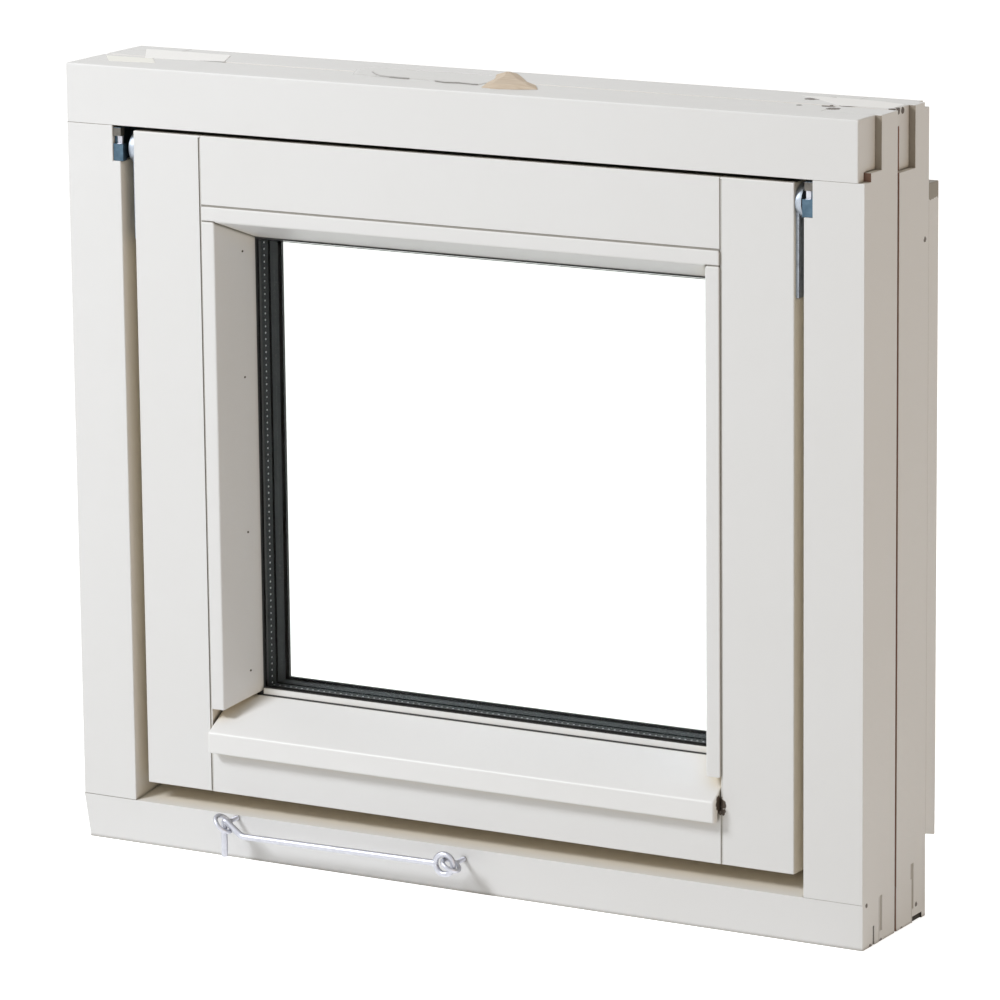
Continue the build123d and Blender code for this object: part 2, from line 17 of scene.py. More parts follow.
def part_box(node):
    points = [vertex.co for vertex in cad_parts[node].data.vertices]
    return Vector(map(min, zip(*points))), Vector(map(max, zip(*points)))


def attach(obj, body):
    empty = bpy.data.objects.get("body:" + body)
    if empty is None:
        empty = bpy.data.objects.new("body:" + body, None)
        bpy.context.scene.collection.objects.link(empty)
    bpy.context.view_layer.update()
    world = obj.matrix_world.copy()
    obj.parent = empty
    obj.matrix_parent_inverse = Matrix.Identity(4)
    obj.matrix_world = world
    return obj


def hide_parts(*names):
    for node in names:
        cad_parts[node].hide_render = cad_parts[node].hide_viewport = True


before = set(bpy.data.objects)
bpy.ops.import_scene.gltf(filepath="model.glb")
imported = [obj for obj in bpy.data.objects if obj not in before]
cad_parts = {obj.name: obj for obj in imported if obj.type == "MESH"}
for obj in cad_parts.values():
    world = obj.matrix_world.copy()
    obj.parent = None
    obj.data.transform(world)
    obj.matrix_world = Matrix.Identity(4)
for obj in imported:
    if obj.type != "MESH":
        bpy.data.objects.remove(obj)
bpy.ops.object.select_all(action="DESELECT")
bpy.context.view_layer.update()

# %% [markdown]
# ## Places on the window
# A joiner measures a window's depth from its front face, and its heights from the bottom. One small
# helper turns such a place, in millimetres, into Blender's metres. The front face's own place comes
# from the CAD node, so nothing is typed twice.

# %% A place in millimetres
FRONT_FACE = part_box("head_front")[0].y


def at(x, depth, z):
    """A place on the window: width from the middle, depth from the front face, height, in mm."""
    return Vector((x / 1000, FRONT_FACE + depth / 1000, z / 1000))


print("The front face lies at y =", round(FRONT_FACE, 4))

# %% [markdown]
# ## Choosing one object
# Blender's tools work on whatever is selected, so each step first selects its own object and
# nothing else. A second helper copies a CAD node without touching it, and merges the copy's
# triangles into whole flat faces. A third gives a finished piece its body and its material, and
# hides the nodes that it stands for.


# %% Select one object, and copy a CAD node
def choose(piece):
    """Selects one object alone and makes it the active one."""
    bpy.ops.object.select_all(action="DESELECT")
    piece.select_set(True)
    bpy.context.view_layer.objects.active = piece


def copy_of(node, name):
    """A copy of a CAD node with its loose triangles merged into whole flat faces."""
    piece = bpy.data.objects.new(name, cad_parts[node].data.copy())
    bpy.context.collection.objects.link(piece)
    piece.data.materials.clear()
    choose(piece)
    bpy.ops.object.mode_set(mode="EDIT")
    bpy.ops.mesh.select_all(action="SELECT")
    bpy.ops.mesh.remove_doubles(threshold=0.00001)
    bpy.ops.mesh.dissolve_limited(angle_limit=math.radians(0.5))
    bpy.ops.object.mode_set(mode="OBJECT")
    return piece


def finish_piece(piece, slot, *nodes, body="window", material=None):
    """Gives a finished piece its body and its material, and hides the CAD nodes that it stands for.
    """
    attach(piece, body)
    if nodes:
        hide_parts(*nodes)
    if material:
        piece.data.materials.clear()
        piece.data.materials.append(material)


print("Ready to choose, copy and finish pieces")

# %% [markdown]
# ## Paint
# The timber carries an off-white satin paint. Real brushed paint is never one flat value: it varies
# a little in tone and has a faint grain that catches the light. An image could hold that, but a
# noise texture on the object's own coordinates stays sharp at any distance and never slides.
#
# Three more things change its colour. Deep corners, such as the gap round the sash, get a warm
# painted shade, which stands in for the light that reaches them after bouncing off wood and old
# paint. Joints and inside corners get darker, partly from dirt and partly as painted shade. And at
# a list of places the paint has chipped off and shows raw wood. The colours are linear values, and
# each chip is a place on the window with a radius in millimetres.

# %% Colours of paint, dirt and wood, and where the paint has chipped
PAINT_COLOUR = (0.766, 0.770, 0.776, 1.0)
PAINT_SHADE = (0.738, 0.738, 0.738, 1.0)
RAW_WOOD = (0.13, 0.095, 0.07, 1.0)
RAW_WOOD_DARK = (0.03, 0.023, 0.018, 1.0)
# Joints and inside corners darken towards this colour, partly dirt and partly painted shade.
JOINT_DIRT_AND_SHADE = (0.30, 0.28, 0.25, 1.0)
# A warm painted shade that deep corners and gaps take on.
WARM_SHADE = (0.78, 0.715, 0.60, 1.0)
CHIPS = [
    (at(284, 84, 670), 5.5), (at(290, 88, 670), 6.0), (at(296, 95, 670), 5.5),
    (at(313, 56, 670), 5.5), (at(323, 44, 670), 5.5), (at(290, 50, 670), 2.4),
    (at(365, 63, 669), 3.0), (at(367, 70, 668), 3.2), (at(367, 78, 667), 2.6),
    (at(372.5, 108, 560), 2.2), (at(372.5, 7, 36), 1.9), (at(372.5, 98, 14), 1.9),
    (at(-368, 16, 668), 1.5), (at(242.5, 3.5, 104), 5.0), (at(244, 4, 98.5), 3.4),
    (at(243, 2, 109), 3.0), (at(372.5, 14, 0), 2.6), (at(372.5, 33, 0), 2.4),
    (at(372.5, 60, 0), 2.6), (at(372.5, 71, 0), 2.0),
]
print("Listed", len(CHIPS), "chipped places")

# %% [markdown]
# ### Small helpers for shader nodes
# Building a material node by node is long-winded, so each common step gets a short function that
# returns the socket to plug in next: a noise, a stretched coordinate, a sum, a mix of two colours.
# A coordinate stretched along one axis draws a noise out into fibres along that axis.


# %% Node helpers
def new_material(name):
    """An empty node material with its principled shader."""
    material = bpy.data.materials.new(name)
    material.use_nodes = True
    return material, material.node_tree.nodes, material.node_tree.links


def noise(nodes, links, vector, scale, detail=2.0):
    """A noise texture on a vector."""
    node = nodes.new("ShaderNodeTexNoise")
    node.inputs["Scale"].default_value = scale
    node.inputs["Detail"].default_value = detail
    links.new(vector, node.inputs["Vector"])
    return node.outputs["Fac"]


def stretched(nodes, links, scale):
    """Object coordinates scaled apart on each axis."""
    place = nodes.new("ShaderNodeTexCoord")
    mapping = nodes.new("ShaderNodeMapping")
    mapping.inputs["Scale"].default_value = scale
    links.new(place.outputs["Object"], mapping.inputs["Vector"])
    return mapping.outputs["Vector"]


def sum_of(nodes, links, operation, first, second):
    """One math node between two values or sockets."""
    node = nodes.new("ShaderNodeMath")
    node.operation = operation
    for socket, value in zip(node.inputs, (first, second)):
        if isinstance(value, (int, float)):
            socket.default_value = value
        else:
            links.new(value, socket)
    return node.outputs["Value"]


def blended(nodes, links, fac, first, second):
    """Two colours or sockets mixed by a factor."""
    node = nodes.new("ShaderNodeMix")
    node.data_type = "RGBA"
    links.new(fac, node.inputs["Factor"])
    for socket, value in ((node.inputs[6], first), (node.inputs[7], second)):
        if isinstance(value, tuple):
            socket.default_value = value
        else:
            links.new(value, socket)
    return node.outputs[2]


def plain(name, colour, roughness, metallic=0.0):
    """A plain material: one colour, one roughness."""
    material, nodes, links = new_material(name)
    shader = nodes["Principled BSDF"]
    shader.inputs["Base Color"].default_value = (*colour, 1)
    shader.inputs["Roughness"].default_value = roughness
    shader.inputs["Metallic"].default_value = metallic
    return material


print("Node helpers ready")

# %% [markdown]
# ### Where paint is chipped, and where a surface is sheltered
# A chip is a ball around its place whose edge a fine noise makes ragged, so no two look alike. To
# find corners and joints, an ambient occlusion node asks how much of the open air a point can see
# within a given reach: a long reach finds the gaps, and a reach of a few millimetres the joints.
# Painting such shades by hand would be the other way, but it would have to be redone with each
# change of size.

# %% Chips and shelter
CHIP_NOISE_SCALE = 500
RAGGED_REACH, LARGEST_REACH = 2.3, 1.1


def chipped(nodes, links):
    """1 inside a chipped place and 0 elsewhere, with a ragged edge."""
    place = stretched(nodes, links, (1, 1, 1))
    ragged = noise(nodes, links, place, CHIP_NOISE_SCALE, 4)
    total = None
    for centre, radius in CHIPS:
        away = nodes.new("ShaderNodeVectorMath")
        away.operation = "DISTANCE"
        away.inputs[1].default_value = centre
        links.new(place, away.inputs[0])
        reach = sum_of(nodes, links, "MULTIPLY", ragged, RAGGED_REACH * radius / 1000)
        inside = sum_of(nodes, links, "LESS_THAN", away.outputs["Value"], reach)
        limit = LARGEST_REACH * radius / 1000
        near = sum_of(nodes, links, "LESS_THAN", away.outputs["Value"], limit)
        inside = sum_of(nodes, links, "MULTIPLY", inside, near)
        total = inside if total is None else sum_of(nodes, links, "MAXIMUM", total, inside)
    return total


def sheltered(nodes, links, reach, open_share, closed_share):
    """0 on an open face, growing to 1 where other surfaces stand close around."""
    shelter = nodes.new("ShaderNodeAmbientOcclusion")
    shelter.samples = 8
    shelter.inputs["Distance"].default_value = reach
    spread = nodes.new("ShaderNodeMapRange")
    spread.inputs["From Min"].default_value = open_share
    spread.inputs["From Max"].default_value = closed_share
    links.new(shelter.outputs["AO"], spread.inputs["Value"])
    return spread.outputs["Result"]


print("Chips and shelter can be asked for")

# %% [markdown]
# ### The paint itself
# Everything comes together in one function, so that lying timber, standing timber and the drip sill
# get the same paint with only the direction of the brush or the lightness changed. The drip sill's
# paint is made lighter, painted light for the extra light its sloping top catches. Below the top of
# the front sill the painted warm shade is switched off, because there the floor, not wood, is what
# shelters the surface.

# %% Satin paint
SILL_FRONT_TOP = 0.0372  # metres, as a shader's coordinates are
# Reaches and shares of ambient occlusion: the gaps' warm painted shade, and the joints' dirt and
# painted shade.
GAP_REACH, GAP_SHARES = 0.03, (0.85, 0.25)
JOINT_REACH, JOINT_SHARES = 0.0035, (0.95, 0.45)


def paint(name, grain_scale, lightness=1.0):
    """Satin paint; the grain is drawn out along the timber."""
    material, nodes, links = new_material(name)
    shader = nodes["Principled BSDF"]
    shader.inputs["Roughness"].default_value = 0.42
    grain = noise(nodes, links, stretched(nodes, links, grain_scale), 1.0, 4)
    cloudy = noise(nodes, links, stretched(nodes, links, (1, 1, 1)), 7.0, 3)
    light_tone = tuple(value * lightness for value in PAINT_COLOUR[:3]) + (1.0,)
    deep_tone = tuple(value * lightness for value in PAINT_SHADE[:3]) + (1.0,)
    tone = blended(nodes, links, cloudy, light_tone, deep_tone)
    speckle = noise(nodes, links, stretched(nodes, links, (1, 1, 1)), 260, 2)
    wood = blended(nodes, links, speckle, RAW_WOOD, RAW_WOOD_DARK)
    # Deep corners and gaps, found with a long reach, take a warm painted shade, switched off below
    # the front sill's top.
    painted_shade_in_recess = sheltered(nodes, links, GAP_REACH, *GAP_SHARES)
    height = nodes.new("ShaderNodeSeparateXYZ")
    links.new(stretched(nodes, links, (1, 1, 1)), height.inputs["Vector"])
    off_floor = sum_of(nodes, links, "GREATER_THAN", height.outputs["Z"], SILL_FRONT_TOP)
    painted_shade_in_recess = sum_of(nodes, links, "MULTIPLY", painted_shade_in_recess, off_floor)
    warm = blended(nodes, links, painted_shade_in_recess, tone, WARM_SHADE)
    # Joints and inside corners within a few millimetres darken, partly dirt and partly painted
    # shade.
    crevice_dirt_and_shade = sheltered(nodes, links, JOINT_REACH, *JOINT_SHARES)
    dirty_and_shaded = blended(nodes, links, crevice_dirt_and_shade, warm, JOINT_DIRT_AND_SHADE)
    colour = blended(nodes, links, chipped(nodes, links), dirty_and_shaded, wood)
    links.new(colour, shader.inputs["Base Color"])
    bump = nodes.new("ShaderNodeBump")
    bump.inputs["Strength"].default_value = 0.10
    bump.inputs["Distance"].default_value = 0.0004
    links.new(grain, bump.inputs["Height"])
    links.new(bump.outputs["Normal"], shader.inputs["Normal"])
    return material


lying_paint = paint("paint_on_lying_timber", (18, 500, 500))
standing_paint = paint("paint_on_standing_timber", (500, 500, 18))
# The drip sill's paint is made 7 % lighter: painted light, because its sloping top catches more
# light.
drip_paint_with_painted_light = paint("paint_on_drip_sill", (18, 500, 500), 1.07)
print("Made three paints:", lying_paint.name, standing_paint.name, drip_paint_with_painted_light.name)

# %% [markdown]
# ## Eased edges
# A joiner breaks every sharp edge, because paint runs off a sharp one. These soft edges catch the
# light as fine bright lines, and where two timbers meet they leave a thin groove that shows as the
# joint. Rounding everything alike would make the joints too coarse, so each edge gets its own bevel
# weight: one for open edges, one for edges that touch another piece, and a fine one for edges below
# a height. A search tree of each node's faces tells which edges touch. On the window's outer sides
# paint fills the joints that run from front to back, so those edges stay sharp and don't show.

# %% Find the edges that touch another piece
OPEN_EDGE, JOINT_EDGE, FINE_EDGE = 2.2, 2.0, 0.7  # bevel widths in millimetres
TOUCH, SIDE_FACE, RUNS_BACK = 0.00025, 0.3723, 0.001  # metres
SHARP_ANGLE = math.radians(20)


def face_tree(node):
    """A search tree over a node's faces."""
    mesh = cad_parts[node].data
    corners = [vertex.co.copy() for vertex in mesh.vertices]
    return BVHTree.FromPolygons(corners, [tuple(face.vertices) for face in mesh.polygons])


trees = {node: face_tree(node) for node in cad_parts}


def touches(point, own_nodes):
    """True where a point lies on another piece."""
    return any(
        tree.find_nearest(point, TOUCH)[0] is not None
        for node, tree in trees.items()
        if node not in own_nodes
    )


def painted_over(edge):
    """True for a joint that runs from front to back on the window's outer sides."""
    first, second = (vertex.co for vertex in edge.verts)
    on_side = min(abs(first.x), abs(second.x)) > SIDE_FACE
    return on_side and abs(first.y - second.y) > RUNS_BACK


def ease_edges(piece, own_nodes, width=OPEN_EDGE, joint=JOINT_EDGE, segments=3, fine_below=0.0):
    """Weighs every sharp outer edge and rounds it with one bevel."""
    widest = max(width, joint)
    choose(piece)
    bpy.ops.object.mode_set(mode="EDIT")
    shape = bmesh.from_edit_mesh(piece.data)
    weights = shape.edges.layers.float.get("bevel_weight_edge") or shape.edges.layers.float.new(
        "bevel_weight_edge"
    )
    counts = {"open": 0, "joint": 0}
    for edge in shape.edges:
        edge[weights] = 0.0
        if len(edge.link_faces) != 2 or edge.calc_face_angle(0) < SHARP_ANGLE:
            continue
        if not edge.is_convex:
            continue
        middle = (edge.verts[0].co + edge.verts[1].co) / 2
        kind = "joint" if touches(middle, own_nodes) else "open"
        if kind == "joint" and painted_over(edge):
            continue
        edge[weights] = (joint if kind == "joint" else width) / widest
        if middle.z < fine_below:
            edge[weights] = FINE_EDGE / widest
        counts[kind] += 1
    bmesh.update_edit_mesh(piece.data)
    bpy.ops.object.mode_set(mode="OBJECT")
    bevel = piece.modifiers.new("Eased edges", "BEVEL")
    bevel.limit_method = "WEIGHT"
    bevel.width = widest / 1000
    bevel.segments = segments
    bpy.ops.object.modifier_apply(modifier=bevel.name)
    return counts


print("Search trees made for", len(trees), "nodes")

# %% [markdown]
# ## Saw cuts and gaps in the frame's timber
# The frame's corners are halved joints, cut with a saw. At the right end of the sill the saw ran on
# a little and left narrow cuts, wide shallow ones show where the laps meet, and the bottom edge is
# broken away at the back. A Boolean modifier takes such a cut out of the solid timber, so that it
# has real depth and a real shadow, which a dark line in the paint would not.


# %% Cut a box out of a piece
def cut(piece, low, high):
    """Takes a box between two corners out of a piece."""
    bpy.ops.object.select_all(action="DESELECT")
    bpy.ops.mesh.primitive_cube_add(size=1, location=(low + high) / 2)
    cutter = bpy.context.object
    cutter.scale = high - low
    choose(piece)
    boolean = piece.modifiers.new("Cut", "BOOLEAN")
    boolean.object = cutter
    boolean.operation = "DIFFERENCE"
    boolean.solver = "EXACT"
    bpy.ops.object.modifier_apply(modifier=boolean.name)
    bpy.data.objects.remove(cutter)


CUTS = {
    "head_back": [(at(358, 59, 619), at(368, 71.5, 655))],
    "sill_front": [
        (at(366, 18.6, -1), at(374, 21.4, 16)),
        (at(368, 29.6, -1), at(374, 30.6, 38)),
        (at(360, 30.5, -1), at(374, 33.5, 3)),
    ],
    "jamb_front_right": [(at(371.9, 31, 9), at(374, 35.5, 38))],
    "jamb_back_right": [
        (at(371, 91, -1), at(374, 108, 5)),
        (at(371.9, 87.8, 12), at(374, 93, 50)),
        (at(367, 107, 665.5), at(374, 116, 671)),
    ],
}
print("Cuts listed for", ", ".join(CUTS))

# %% [markdown]
# ## Faces that show bare wood or painted shade
# Inside the groove the timber is bare. In the notch beside the front lap it is bare too, and its
# dark red also paints the shade of the thin gap there. The steps beside the laps lie in the laps'
# shadow, and the floor of the shallow saw cut and the hollow at the back jamb's foot lie in shade,
# so these get darker colours, a painted shadow. Those faces get a material of their own. They are
# found by their place and by the way they look, which goes on working when the bevels change their
# number.

# %% Bare wood and painted shade on faces
outward = Vector((0, -1, 0))
groove_wood = plain("groove_wood", (0.36, 0.21, 0.16), 0.8)
# The steps beside the halved corners' laps get a painted shadow: the laps shade them from the key
# lamp.
step_painted_shadow = plain("step_painted_shadow", (0.34, 0.30, 0.25), 0.8)
# The notch's dark red is bare wood together with a painted shade of the thin gap behind the lap.
notch_bare_wood_and_shade = plain("notch_bare_wood_and_shade", (0.28, 0.17, 0.13), 0.8)
# The saw cut's floor is shallow, so its grey is a painted shade.
kerf_shade = plain("kerf_shade", (0.50, 0.48, 0.46), 0.7)
# The hollow at the back jamb's foot is near black, a painted shadow.
hollow_painted_shadow = plain("hollow_painted_shadow", (0.04, 0.036, 0.03), 0.9)


def recolour(piece, material, low, high, facing):
    """Gives the faces between two corners that look one way another material."""
    piece.data.materials.append(material)
    number = len(piece.data.materials) - 1
    count = 0
    for face in piece.data.polygons:
        inside = all(low[axis] < face.center[axis] < high[axis] for axis in range(3))
        if inside and (facing is None or face.normal.dot(facing) > 0.9):
            face.material_index = number
            count += 1
    return count


GROOVE_FACES = (groove_wood, at(-372, 58.2, 1), at(372, 61.8, 669), None)
KERF_FACES = (kerf_shade, at(371.8, 30, 8), at(372.1, 94, 51), None)
BARE_OR_SHADED_FACES = {
    "sill_front": [GROOVE_FACES], "sill_back": [GROOVE_FACES],
    "jamb_front_left": [GROOVE_FACES], "jamb_back_left": [GROOVE_FACES],
    "head_back": [(groove_wood, at(357, 60.2, 619), at(366.8, 72, 655.5), None)],
    "jamb_front_right": [
        GROOVE_FACES, KERF_FACES,
        (step_painted_shadow, at(319, 29.5, 621), at(373, 30.5, 669), outward),
        (notch_bare_wood_and_shade, at(319, 10.5, 620), at(373, 12.5, 628), outward),
    ],
    "jamb_back_right": [
        GROOVE_FACES, KERF_FACES,
        (hollow_painted_shadow, at(366, 90.5, -1), at(372.4, 108.5, 5.2), None),
        (step_painted_shadow, at(319, 89.5, 621), at(373, 90.5, 669), outward),
    ],
}
print("Bare and stained faces listed for", len(BARE_OR_SHADED_FACES), "pieces")

# %% [markdown]
# ## The frame's timber
# Each frame piece is copied from its CAD node, cut, eased, painted, and then given its faces of
# bare wood and painted shade.
# The order matters: a cut comes before the bevel, so that its rim is eased with the rest. The
# head's upper edges are rounded most, for they catch the light, and its lower edges least, because
# they bound the narrow slit over the sash.

# %% Dress the frame's timber
FRAME_TIMBER = {
    "head_front": lying_paint, "head_back": lying_paint,
    "sill_front": lying_paint, "sill_back": lying_paint,
    "jamb_front_right": standing_paint, "jamb_front_left": standing_paint,
    "jamb_back_right": standing_paint, "jamb_back_left": standing_paint,
}
HEAD_EDGE = 3.2
HEAD_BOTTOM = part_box("head_front")[0].z
for node, material in FRAME_TIMBER.items():
    piece = copy_of(node, node + "_timber")
    for low, high in CUTS.get(node, []):
        cut(piece, low, high)
    if node == "head_front":
        counts = ease_edges(piece, [node], width=HEAD_EDGE, fine_below=HEAD_BOTTOM + 0.0005)
    else:
        counts = ease_edges(piece, [node])
    finish_piece(piece, "frame_paint", node, material=material)
    counts["stained"] = sum(recolour(piece, *faces) for faces in BARE_OR_SHADED_FACES.get(node, []))
    print(node, counts, len(piece.data.polygons), "faces")

# %% [markdown]
# ## The slit over the sash, and the sash's joints
# Between the head and the sash runs a narrow slit. Its first millimetres take some light and the
# rest is black. A real gap in a room would darken by itself, but here the studio is bright all
# round, so the top of the sash gets a material that turns dark at a set depth, a painted shadow.
# Its rounded front edge gets a plain paler paint without the warm shade, a painted highlight. The
# joints beside the stiles and the rail show as shallow grooves, which are cut.

# %% Slit and joint grooves
SASH_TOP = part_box("sash_top_rail")[1].z * 1000
LIT_DEPTH = 9.0
# Plain paler paint without the warm shade, for the sash top's rounded front edge: a painted
# highlight.
edge_painted_highlight = plain("edge_painted_highlight", (0.84, 0.84, 0.84), 0.42)
slit_shade, nodes, links = new_material("sash_top_in_the_slit")
split = nodes.new("ShaderNodeSeparateXYZ")
links.new(stretched(nodes, links, (1, 1, 1)), split.inputs["Vector"])
deep = sum_of(nodes, links, "GREATER_THAN", split.outputs["Y"], at(0, LIT_DEPTH, 0).y)
links.new(
    blended(nodes, links, deep, (0.84, 0.84, 0.84, 1), (0.04, 0.036, 0.03, 1)),
    nodes["Principled BSDF"].inputs["Base Color"],
)
upward = Vector((0, 0, 1))
JOINTS = {
    "sash_stile_right": (at(242.9, 3, 50), at(245.0, 4.9, 614.5)),
    "sash_stile_left": (at(-245.0, 3, 50), at(-242.9, 4.9, 614.5)),
    "sash_top_rail": (at(-242.9, 3, 556.9), at(242.9, 4.9, 558.5)),
}
# The sash top's rounded front edge gets the paler paint, a painted highlight. Deeper in, the slit's
# material paints the shadow.
LIT_FACES = (edge_painted_highlight, at(-310, 3.9, SASH_TOP - 1.7), at(310, 5.6, SASH_TOP), None)
SLIT_FACES = (slit_shade, at(-310, 5.6, SASH_TOP - 0.2), at(310, 80, SASH_TOP + 0.2), upward)
print("The sash's top lies at", round(SASH_TOP, 1), "mm")

# %% [markdown]
# ## The sash's timber, beads and drip sill
# The sash is made of two stiles between which the rails sit, with glazing beads that hold the glass
# unit, and a sloping drip sill that throws rain clear. They are dressed as the frame is, but with
# the joint grooves cut after the bevel, so that their rims stay crisp. The beads are finer
# mouldings, so their edges are rounded less.

# %% Dress the sash
SASH_JOINT_EDGE = 1.6
SASH_TIMBER = {
    "sash_top_rail": (lying_paint, 1.6), "sash_bottom_rail": (lying_paint, 1.6),
    "sash_stile_right": (standing_paint, 1.6), "sash_stile_left": (standing_paint, 1.6),
    "drip_sill": (drip_paint_with_painted_light, 1.6), "glazing_bead_top": (lying_paint, 1.1),
    "glazing_bead_right": (standing_paint, 1.1), "glazing_bead_left": (standing_paint, 1.1),
    "glazing_strip_bottom": (lying_paint, 1.0),
}
for node, (material, width) in SASH_TIMBER.items():
    piece = copy_of(node, node + "_timber")
    counts = ease_edges(piece, [node], width=width, joint=SASH_JOINT_EDGE)
    if node in JOINTS:
        cut(piece, *JOINTS[node])
    finish_piece(piece, "sash_paint", node, material=material)
    if node in JOINTS:
        recolour(piece, *LIT_FACES)
        recolour(piece, *SLIT_FACES)
    print(node, counts, len(piece.data.polygons), "faces")

# %% [markdown]
# ## The battens behind the frame
# A narrow batten is nailed to the back of each jamb. The paint stops short of its upper end with a
# brush's ragged line, and grey weathered wood shows above. The battens take a copy of the standing
# paint in which height, shaken a little by noise, decides between the two.

# %% Dress the battens, bare at the top
BARE_FROM = 0.5935
RAGGED_DEPTH = 0.006
GREY_WOOD = (0.27, 0.24, 0.19, 1)
weathered = standing_paint.copy()
weathered.name = "paint_on_battens"
nodes, links = weathered.node_tree.nodes, weathered.node_tree.links
height = nodes.new("ShaderNodeSeparateXYZ")
links.new(stretched(nodes, links, (1, 1, 1)), height.inputs["Vector"])
shaking = noise(nodes, links, stretched(nodes, links, (1, 1, 1)), 300)
ragged = sum_of(nodes, links, "MULTIPLY", shaking, RAGGED_DEPTH)
shaken = sum_of(nodes, links, "ADD", height.outputs["Z"], ragged)
bare = sum_of(nodes, links, "GREATER_THAN", shaken, BARE_FROM)
shader = nodes["Principled BSDF"]
painted = shader.inputs["Base Color"].links[0].from_socket
links.new(blended(nodes, links, bare, painted, GREY_WOOD), shader.inputs["Base Color"])
for node in ("batten_right", "batten_left"):
    piece = copy_of(node, node + "_timber")
    ease_edges(piece, [node], width=0.8, joint=0.5)
    finish_piece(piece, "batten_paint", node, material=weathered)
print("Battens dressed, bare above", BARE_FROM, "m")

# %% [markdown]
# ## Glass
# Three clear panes stand one behind the other. Glass shows by what it reflects and bends, so the
# shader is a smooth, fully transmitting one. Its index, 1.1, is below that of float glass, so that
# six faces in a row mirror little and the opening stays clear. Light that only needs to pass
# through, which is what a shadow ray asks, goes straight: otherwise the panes would throw a dark
# shadow that real glass doesn't.

# %% Clear glass on the panes
clear_glass, nodes, links = new_material("clear_float_glass")
shader = nodes["Principled BSDF"]
shader.inputs["Base Color"].default_value = (0.97, 0.985, 0.98, 1)
shader.inputs["Roughness"].default_value = 0.0
shader.inputs["IOR"].default_value = 1.1
shader.inputs["Transmission Weight"].default_value = 1.0
straight = nodes.new("ShaderNodeBsdfTransparent")
path = nodes.new("ShaderNodeLightPath")
either = nodes.new("ShaderNodeMixShader")
links.new(path.outputs["Is Shadow Ray"], either.inputs["Fac"])
links.new(shader.outputs["BSDF"], either.inputs[1])
links.new(straight.outputs["BSDF"], either.inputs[2])
links.new(either.outputs["Shader"], nodes["Material Output"].inputs["Surface"])


def repaint(node, material):
    """Gives a CAD node that keeps its shape another material."""
    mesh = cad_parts[node].data
    mesh.materials.clear()
    mesh.materials.append(material)


for node in ("glass_outer_pane", "glass_middle_pane", "glass_inner_pane"):
    repaint(node, clear_glass)
print("Three panes of clear glass")

# %% [markdown]
# ## Gaskets, weatherstrip and spacers
# Black rubber holds the glass against the beads. The outer gasket is squeezed out a little, which a
# Displace modifier shows without changing the CAD mesh. Between the panes runs a dark spacer bar.
# Its inner face is pierced with a row of tiny holes that let the drying grains inside it work, and
# these catch the light as a dotted pale line.

# %% Rubber and spacer bars
rubber = plain("black_rubber", (0.012, 0.012, 0.012), 0.55)
for node in ("frame_weatherstrip", "glazing_gasket_outer", "glazing_gasket_inner"):
    repaint(node, rubber)
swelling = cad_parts["glazing_gasket_outer"].modifiers.new("Squeezed out", "DISPLACE")
swelling.strength = 0.0012
swelling.mid_level = 0.0
spacer_bar, nodes, links = new_material("dark_spacer_bar")
shader = nodes["Principled BSDF"]
shader.inputs["Roughness"].default_value = 0.6
shader.inputs["Specular IOR Level"].default_value = 0.12
grains = noise(nodes, links, stretched(nodes, links, (1, 1, 1)), 500, 2)
links.new(
    blended(nodes, links, grains, (0.004, 0.005, 0.006, 1), (0.05, 0.058, 0.06, 1)),
    shader.inputs["Base Color"],
)
for node in ("glass_spacer_outer", "glass_spacer_inner"):
    repaint(node, spacer_bar)
print("Rubber and spacers done")

# %% [markdown]
# ### Tools for many small pieces
# Small things that repeat are made once and copied. A disc is the shape of a hole or of a nail's
# dot. One tool copies a shape along a row into a single mesh, which stays light. Another joins
# several objects into one, with its place in the mesh.


# %% Disc, row of copies, and join
def disc(place, normal, radius, sides=6, depth=0.1):
    """A thin round disc whose face looks along its normal."""
    bpy.ops.object.select_all(action="DESELECT")
    turn = Vector(normal).to_track_quat("Z", "Y").to_euler()
    bpy.ops.mesh.primitive_cylinder_add(
        vertices=sides, radius=radius / 1000, depth=depth / 1000, location=place, rotation=turn
    )
    return bpy.context.object


def repeat(first, steps, name):
    """One object made of a piece and its moved copies, with its place in the mesh."""
    mesh = bpy.data.meshes.new(name)
    shape = bmesh.new()
    for step in steps:
        shape.from_mesh(first.data)
        fresh = [vertex for vertex in shape.verts if not vertex.tag]
        move = Matrix.Translation(step) @ first.matrix_world
        for vertex in fresh:
            vertex.co = move @ vertex.co
            vertex.tag = True
    shape.to_mesh(mesh)
    shape.free()
    bpy.data.objects.remove(first)
    piece = bpy.data.objects.new(name, mesh)
    bpy.context.collection.objects.link(piece)
    return piece


def join(pieces, name):
    """Joins several objects into one, with its place in its mesh."""
    bpy.ops.object.select_all(action="DESELECT")
    for piece in pieces:
        piece.select_set(True)
    bpy.context.view_layer.objects.active = pieces[0]
    bpy.ops.object.join()
    joined = bpy.context.object
    bpy.ops.object.transform_apply(location=True, rotation=True, scale=True)
    joined.name = name
    return joined


print("Disc, repeat and join ready")

# %% [markdown]
# ### The row of tiny holes
# One hole is a small six-sided disc, copied along all four bars of each spacer at an even pitch.
# The outer spacer's holes look pale. Those of the inner one lie in the shade of the middle pane, so
# they get a darker colour, a painted shade.

# %% Spacer perforations
HOLE_PITCH = 5.5
HOLE_RADIUS = 0.85
STAND_OFF, FIRST_HOLE = 0.05, 2.0
pale_hole = plain("pale_hole", (0.50, 0.53, 0.54), 0.6)
# The inner spacer's holes take this darker colour, a painted shade.
hole_in_painted_shade = plain("hole_in_painted_shade", (0.07, 0.08, 0.085), 0.6)


